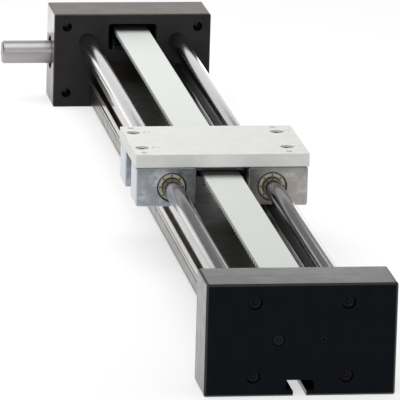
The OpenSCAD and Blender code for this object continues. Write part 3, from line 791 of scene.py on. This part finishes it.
def moulded_plastic(name, rgb, roughness, gloss=0.5):
    finish = Finish(name, Roughness=roughness, Specular_IOR_Level=gloss)
    mottle = finish.group(mottle_group(), Blotch_Size=4 * MM, Grain_Size=0.2 * MM)
    edges = finish.group(edge_group(), Radius=0.2 * MM)
    shelter = finish.group(shelter_group(), Reach=2 * MM)["Open"]
    body = finish.mix(mottle["Blotch"], shade(rgb, 0.93), shade(rgb, 1.04))
    # Painted shade in hollows and close to other pieces
    finish.feed("Base Color", finish.mix(shelter, shade(rgb, 0.05), body))
    finish.feed("Roughness", finish.spread(mottle["Grain"], roughness - 0.05, roughness + 0.08))
    finish.feed("Normal", finish.bump(mottle["Grain"], 0.005 * MM, edges["Normal"]))
    return finish.material


def finish_once(name, make, *args):
    """Returns the named material and makes it the first time."""
    return bpy.data.materials.get(name) or make(*args)


def steel():
    return finish_once("blackened_steel", blackened_steel)


def bearing_steel():
    name = "bearing_steel"
    return finish_once(name, ground_steel, name, (0.62, 0.63, 0.64), 0.22, RACE_MARKS)


def plated_steel(name, grey):
    return finish_once(name, ground_steel, name, (grey, grey, grey), 0.48, GROUND_ALONG_X)


def turned_steel():
    name = "turned_steel"
    rgb = tuple(0.8 * part for part in bpy.context.scene.axis_finishes.rods)
    return finish_once(name, ground_steel, name, rgb, 0.36, TURNED_ROUND_X)


def block_aluminium(side="left"):
    """Bluish on the left blocks, and bluish with a warm outer part on the right ones."""
    name = f"{side}_block_aluminium"
    rgb = tuple(bpy.context.scene.axis_finishes.blocks)
    stain = tuple(0.8 * part for part in rgb)
    # inner is the colour of the painted shade towards the belt and under the plate
    inner = tuple(0.42 * part for part in rgb)
    if side == "right":
        stain = (rgb[0] * 0.72, rgb[1] * 0.6, rgb[2] * 0.53)
        inner = tuple(0.3 * part for part in rgb)
        rgb = (rgb[0] * 0.86, rgb[1] * 0.79, rgb[2] * 0.69)
    return finish_once(name, etched_aluminium, name, rgb, stain, inner)


# ---------- operators ----------


class AXIS_OT_end_blocks(bpy.types.Operator):
    """Finishes the tension end, its seat plate, the drive end block and the rear cover"""

    bl_idname = "axis.end_blocks"
    bl_label = "End Blocks"

    def execute(self, context):
        rgb = tuple(context.scene.axis_finishes.anodised)
        # The drive end takes a lighter, browner copy of the same black, painted light for its
        # front, which gets less light
        painted_light_black = (rgb[0] * 4.0, rgb[1] * 3.1, rgb[2] * 2.6)
        tension_end = black_anodising(
            "tension_end_anodising",
            rgb,
            top_coat=1.0,
            side_coat=0.96,
            blotch_mm=14,
            milled=(0.02, 0.016, 0.013),
        )
        drive_end = black_anodising(
            "drive_end_anodising",
            painted_light_black,
            top_coat=0.57,
            side_coat=0.8,
            blotch_mm=20,
            milled=(0.06, 0.042, 0.036),
        )
        dress(["tension_end_block", "tension_seat_plate"], tension_end)
        dress(["drive_end_block", "rear_cover"], drive_end)
        return {"FINISHED"}


class AXIS_OT_base(bpy.types.Operator):
    """Finishes the extruded profile, its switch rail and the two ground rods"""

    bl_idname = "axis.base"
    bl_label = "Profile and Rods"

    def execute(self, context):
        dress(["base_profile"], extruded_profile())
        # The switch rail is near black, a dark piece in the shade between the profile and the
        # right rod
        dress(["switch_rail"], moulded_plastic("rail_shade_black", (0.008, 0.0075, 0.007), 0.5, 0.15))
        dress(["rail_slot_nuts"], bearing_steel())
        dress(["guide_rod_left", "guide_rod_right"], shaded_rod_steel())
        return {"FINISHED"}


class AXIS_OT_belt_drive(bpy.types.Operator):
    """Finishes the belt, pulleys, tensioner, shaft and bearings, and closes the shaft bearings"""

    bl_idname = "axis.belt_drive"
    bl_label = "Belt Drive"

    def execute(self, context):
        dress(["toothed_belt"], belt_polyurethane())
        # The pulleys are dark grey and darken more within 25 mm of other pieces: painted shade for
        # the dark pocket they turn in
        pulleys = milled_aluminium("pulley_aluminium", (0.2, 0.205, 0.21), 0.33, TEETH_ROUND_X, 25)
        dress(["idler_pulley", "drive_pulley"], pulleys)
        dress(["drive_shaft", "idler_axle"], turned_steel())
        milled_steel = milled_aluminium("milled_steel", (0.4, 0.4, 0.41), 0.35, GROUND_ALONG_X)
        dress(["idler_yoke", "pulley_key"], milled_steel)
        dress([*BEARINGS, "idler_spacers"], bearing_steel())
        dress(BLACKENED, steel())
        self.close_bearings()
        return {"FINISHED"}

    def close_bearings(self):
        """A black seal with a pressed bead in both shaft bearings."""
        low, high = box("drive_bearing_outer_rings")
        axis = middle("drive_shaft")
        inner = SEAL_INNER_R * MM
        outer = SEAL_OUTER_R * MM
        lip = 0.3 * MM
        bulge = 0.25 * MM
        back = -0.5 * MM
        points = [
            (inner, 0),
            (inner + lip, bulge),
            ((inner + outer) / 2, 0.1 * MM),
            (outer - lip, bulge),
            (outer, 0),
            (outer, back),
            (inner, back),
            (inner, 0),
        ]
        sunk = 0.35 * MM
        places = [
            place(TO_LEFT, low.x + sunk, axis.y, axis.z),
            place(TO_RIGHT, high.x - sunk, axis.y, axis.z),
        ]
        rubber = moulded_plastic("seal_rubber", (0.02, 0.02, 0.021), 0.55)
        piece("shaft_bearing_seals", repeated(turned(points), places), rubber, "drive")


class AXIS_OT_carriage(bpy.types.Operator):
    """Finishes the carriage plate, bearing blocks and belt clamps, and makes dowels and rims"""

    bl_idname = "axis.carriage"
    bl_label = "Carriage"

    def execute(self, context):
        rgb = tuple(context.scene.axis_finishes.plate)
        plate = milled_aluminium(
            "plate_aluminium",
            rgb,
            0.65,
            MILLED_ALONG_Y,
            reach_mm=2,
            sawn=0.35,
            milled=0.75,
            depth=0.75,
        )
        dress(["carriage_plate"], plate)
        for side in ("left", "right"):
            blocks = [f"bearing_block_{end}_{side}" for end in ("front", "rear")]
            dress(blocks, block_aluminium(side))
        dress(["belt_clamp_upper", "belt_clamp_lower"], block_aluminium())
        self.make_dowels()
        self.make_rims(context)
        return {"FINISHED"}

    def make_dowels(self):
        """Chamfered dowel pins with a centre hole."""
        low, high = box("block_dowels")
        radius = DOWEL_R * MM
        chamfer = 0.5 * MM
        tall = high.z - low.z
        points = [
            (0, tall - 1.2 * MM),
            (0.9 * MM, tall - 0.3 * MM),
            (1.3 * MM, tall),
            (radius - chamfer, tall),
            (radius, tall - chamfer),
            (radius, chamfer),
            (radius - chamfer, 0),
            (0, 0),
        ]
        places = [place(UP, x, y, low.z) for x, y in corner_points("block_dowels", radius)]
        pins = repeated(turned(points, 32), places)
        bright = plated_steel("dowel_steel", 0.92)
        piece("dowel_pins", pins, bright, "carriage", ["block_dowels"])

    def make_rims(self, context):
        """Bright, slightly broken rims round the counterbores."""
        width = context.scene.axis_sizes.rim_width
        top = box("carriage_plate")[1].z
        radius = COUNTERBORE_R * MM
        points = [
            (radius - 0.02 * MM, -0.35 * MM),
            (radius + width * 0.5, -0.1 * MM),
            (radius + width, 0.015 * MM),
        ]
        screws = corner_points("block_screws", PLATE_SCREW.head_r * MM)
        places = [place(UP, x, y, top) for x, y in screws]
        bright = milled_aluminium("rim_aluminium", (0.8, 0.8, 0.79), 0.4, BORED_MARKS)
        piece("counterbore_rims", repeated(turned(points), places), bright, "carriage")


class AXIS_OT_bushings(bpy.types.Operator):
    """Finishes the ball bushings and gives each a wiper lip at both ends"""

    bl_idname = "axis.bushings"
    bl_label = "Ball Bushings"

    def execute(self, context):
        cage = moulded_plastic("cage_plastic", tuple(context.scene.axis_finishes.cage), 0.45)
        dress([f"bushing_cage_{corner}" for corner in CORNERS], cage)
        dress([f"ball_bushing_{corner}" for corner in CORNERS], steel())
        dress(["bushing_balls"], bearing_steel())
        self.make_wipers(context)
        return {"FINISHED"}

    def make_wipers(self, context):
        """A rubber lip round the rod in each end of a bushing's cage."""
        rod_low, rod_high = box("guide_rod_left")
        inner = (rod_high.x - rod_low.x) / 2 + context.scene.axis_sizes.seal_gap
        outer = WIPER_OUTER_R * MM
        points = [
            (inner, -0.2 * MM),
            (inner + 0.1 * MM, 0.1 * MM),
            (outer, 0.05 * MM),
            (outer, -1.2 * MM),
            (inner + 0.15 * MM, -0.9 * MM),
            (inner, -0.2 * MM),
        ]
        places = []
        for corner in CORNERS:
            low, high = box(f"bushing_cage_{corner}")
            centre = (low + high) / 2
            places.append(place(TO_FRONT, centre.x, low.y, centre.z))
            places.append(place(TO_REAR, centre.x, high.y, centre.z))
        rubber = moulded_plastic("wiper_rubber", (0.035, 0.035, 0.036), 0.5)
        piece("bushing_wipers", repeated(turned(points), places), rubber, "carriage")


class AXIS_OT_screws(bpy.types.Operator):
    """Makes the socket head screws of the blocks, the tensioner, the cover and the carriage"""

    bl_idname = "axis.screws"
    bl_label = "Screws"

    def execute(self, context):
        self.edge = context.scene.axis_sizes.head_edge
        plated = plated_steel("plated_steel", 0.5)
        self.make_four("plate_screws", "block_screws", "carriage", PLATE_SCREW, UP, plated)
        self.make_four("end_plate_screws", "tension_block_screws", "frame", END_SCREW, TO_FRONT)
        face = box("tension_pull_screw")[0].y
        centre = middle("tension_pull_screw")
        places = [place(TO_FRONT, centre.x, face, centre.z)]
        self.make("belt_tension_screw", "tension_pull_screw", "frame", TENSION_SCREW, places)
        self.make_four("cover_screws", "rear_cover_screws", "frame", COVER_SCREW, TO_REAR)
        low, high = box("belt_clamp_screws")
        head_h = CLAMP_SCREW[1]
        clamp_screw = Screw(*CLAMP_SCREW, (high.z - low.z) / MM - head_h)
        self.make_four("clamp_screws", "belt_clamp_screws", "carriage", clamp_screw, DOWN)
        return {"FINISHED"}

    def make_four(self, name, node, body, screw, turn, material=None):
        places = corner_places(node, screw.head_r * MM, turn)
        self.make(name, node, body, screw, places, material)

    def make(self, name, node, body, screw, places, material=None):
        head_r, head_h, shank_r, shank_l = (size * MM for size in screw)
        edge = min(self.edge, head_h * 0.3)
        screws = repeated(socket_screw(head_r, head_h, shank_r, shank_l, edge), places)
        piece(name, screws, material or steel(), body, [node])


class AXIS_OT_studio(bpy.types.Operator):
    """Sets up the pale floor, the soft light and the camera"""

    bl_idname = "axis.studio"
    bl_label = "Studio"

    def execute(self, context):
        self.settings = context.scene.axis_studio
        self.make_floor(context)
        self.make_world(context)
        self.make_lamps()
        self.make_camera(context)
        context.scene.view_settings.view_transform = "Standard"
        return {"FINISHED"}

    def make_floor(self, context):
        """A wide floor just under the axis, with a low wall far behind it."""
        material = self.floor_material()
        centre = Vector((0, OBJECT_MIDDLE_Y, CAD_BOX[0].z - FLOOR_DROP))
        ground = bmesh.new()
        bmesh.ops.create_grid(
            ground,
            x_segments=1,
            y_segments=1,
            size=FLOOR_HALF,
            matrix=Matrix.Translation(centre),
        )
        floor = self.stage_object(context, "studio_floor", ground, material)
        ring = bmesh.new()
        pull_ring(ring, circle_edges(ring, BACKDROP_R, 64), 1, BACKDROP_HEIGHT)
        bmesh.ops.translate(ring, vec=centre, verts=ring.verts)
        bmesh.ops.recalc_face_normals(ring, faces=ring.faces)
        bmesh.ops.reverse_faces(ring, faces=ring.faces)
        backdrop = self.stage_object(context, "studio_backdrop", ring, material)

    def stage_object(self, context, name, bm, material):
        mesh = bpy.data.meshes.new(name)
        bm.to_mesh(mesh)
        bm.free()
        mesh.materials.append(material)
        obj = bpy.data.objects.new(name, mesh)
        context.scene.collection.objects.link(obj)
        return obj

    def floor_material(self):
        """Pale floor that glows a little to eyes and mirrors and still takes the shadow."""
        material = bpy.data.materials.new("studio_floor")
        material.use_nodes = True
        tree = material.node_tree
        shader = tree.nodes["Principled BSDF"]
        shader.inputs["Base Color"].default_value = (0.5, 0.5, 0.5, 1.0)
        shader.inputs["Roughness"].default_value = 1.0
        shader.inputs["Specular IOR Level"].default_value = 0.0
        shader.inputs["Emission Color"].default_value = (1.0, 1.0, 1.0, 1.0)
        glow = math_node(tree, "MULTIPLY", seen_ray(tree), FLOOR_GLOW)
        tree.links.new(glow, shader.inputs["Emission Strength"])
        return material

    def make_world(self, context):
        """A plain dome that is brighter above than at the horizon."""
        world = bpy.data.worlds.new("studio_world")
        context.scene.world = world
        world.use_nodes = True
        tree = world.node_tree
        split = tree.nodes.new("ShaderNodeSeparateXYZ")
        where = tree.nodes.new("ShaderNodeTexCoord").outputs["Generated"]
        tree.links.new(where, split.inputs["Vector"])
        height = math_node(tree, "MAXIMUM", split.outputs["Z"], 0.0)
        rise = math_node(tree, "POWER", height, 1.5)
        climb = math_node(tree, "MULTIPLY", rise, self.settings.zenith - self.settings.horizon)
        strength = math_node(tree, "ADD", climb, self.settings.horizon)
        background = tree.nodes["Background"]
        background.inputs["Color"].default_value = (1.0, 1.0, 1.0, 1.0)
        tree.links.new(strength, background.inputs["Strength"])

    def make_lamps(self):
        """A soft box above, a card in front, and a card and a strip that the metal mirrors."""
        given = self.settings
        far = CAD_BOX[1].y
        behind = far + 0.22
        above = far - 0.22
        aim = (0, OBJECT_MIDDLE_Y, 0.05)
        self.lamp("soft_box", (-0.2, above, 0.8), (0.7, 0.7), given.key, (0, far - 0.25, 0))
        self.lamp("back_card", (0.01, behind, 0.13), (0.84, 0.24), given.card, (0.01, far, 0.13))
        self.lamp("front_card", (-1.2, -3.4, 1.7), (3.0, 2.4), given.fill, aim)
        self.lamp("strip_light", (0.215, behind, 0.417), (0.21, 0.04), given.strip, (0, 0, 0.09))

    def lamp(self, name, location, size, glow, aim):
        """A rectangular lamp that looks as bright as glow and isn't seen by the camera itself."""
        light = bpy.data.lights.new(name, "AREA")
        light.shape = "RECTANGLE"
        light.size, light.size_y = size
        light.energy = glow * math.pi * size[0] * size[1]
        lamp = bpy.data.objects.new(name, light)
        lamp.visible_camera = False
        lamp.location = location
        lamp.rotation_euler = (Vector(aim) - lamp.location).to_track_quat("-Z", "Y").to_euler()
        bpy.context.scene.collection.objects.link(lamp)

    def make_camera(self, context):
        """A long lens from in front, a little to the left and above."""
        data = bpy.data.cameras.new("camera")
        data.sensor_width = 36.0
        data.lens = self.settings.lens
        data.clip_start = 0.1
        data.clip_end = 50.0
        camera = bpy.data.objects.new("camera", data)
        yaw = Matrix.Rotation(-CAMERA_YAW, 4, "Z")
        pitch = Matrix.Rotation(math.radians(90) - CAMERA_PITCH, 4, "X")
        roll = Matrix.Rotation(CAMERA_ROLL, 4, "Z")
        camera.matrix_world = Matrix.Translation(CAMERA_PLACE) @ yaw @ pitch @ roll
        context.scene.collection.objects.link(camera)
        context.scene.camera = camera


def seen_ray(tree):
    """1 for rays from the camera and for rays seen in metal or glass, and 0 for light."""
    rays = tree.nodes.new("ShaderNodeLightPath").outputs
    mirrored = math_node(tree, "MAXIMUM", rays["Is Glossy Ray"], rays["Is Transmission Ray"])
    return math_node(tree, "MAXIMUM", rays["Is Camera Ray"], mirrored)


class AXIS_PT_panel(bpy.types.Panel):
    """Lists the steps that dress the axis"""

    bl_label = "Belt Driven Linear Axis"
    bl_idname = "AXIS_PT_panel"
    bl_space_type = "VIEW_3D"
    bl_region_type = "UI"
    bl_category = "Linear Axis"

    def draw(self, context):
        for operator in OPERATORS:
            self.layout.operator(operator.bl_idname)
        scene = context.scene
        for group in (scene.axis_finishes, scene.axis_sizes, scene.axis_studio):
            for name in group.__annotations__:
                self.layout.prop(group, name)


OPERATORS = (
    AXIS_OT_end_blocks,
    AXIS_OT_base,
    AXIS_OT_belt_drive,
    AXIS_OT_carriage,
    AXIS_OT_bushings,
    AXIS_OT_screws,
    AXIS_OT_studio,
)
CLASSES = (AxisFinishes, AxisSizes, StudioSettings, *OPERATORS, AXIS_PT_panel)


def register():
    for cls in CLASSES:
        bpy.utils.register_class(cls)
    bpy.types.Scene.axis_finishes = bpy.props.PointerProperty(type=AxisFinishes)
    bpy.types.Scene.axis_sizes = bpy.props.PointerProperty(type=AxisSizes)
    bpy.types.Scene.axis_studio = bpy.props.PointerProperty(type=StudioSettings)


def unregister():
    del bpy.types.Scene.axis_studio
    del bpy.types.Scene.axis_sizes
    del bpy.types.Scene.axis_finishes
    for cls in reversed(CLASSES):
        bpy.utils.unregister_class(cls)


def main():
    register()
    for operator in OPERATORS:
        group, name = operator.bl_idname.split(".")
        getattr(getattr(bpy.ops, group), name)()


if __name__ == "__main__":
    main()
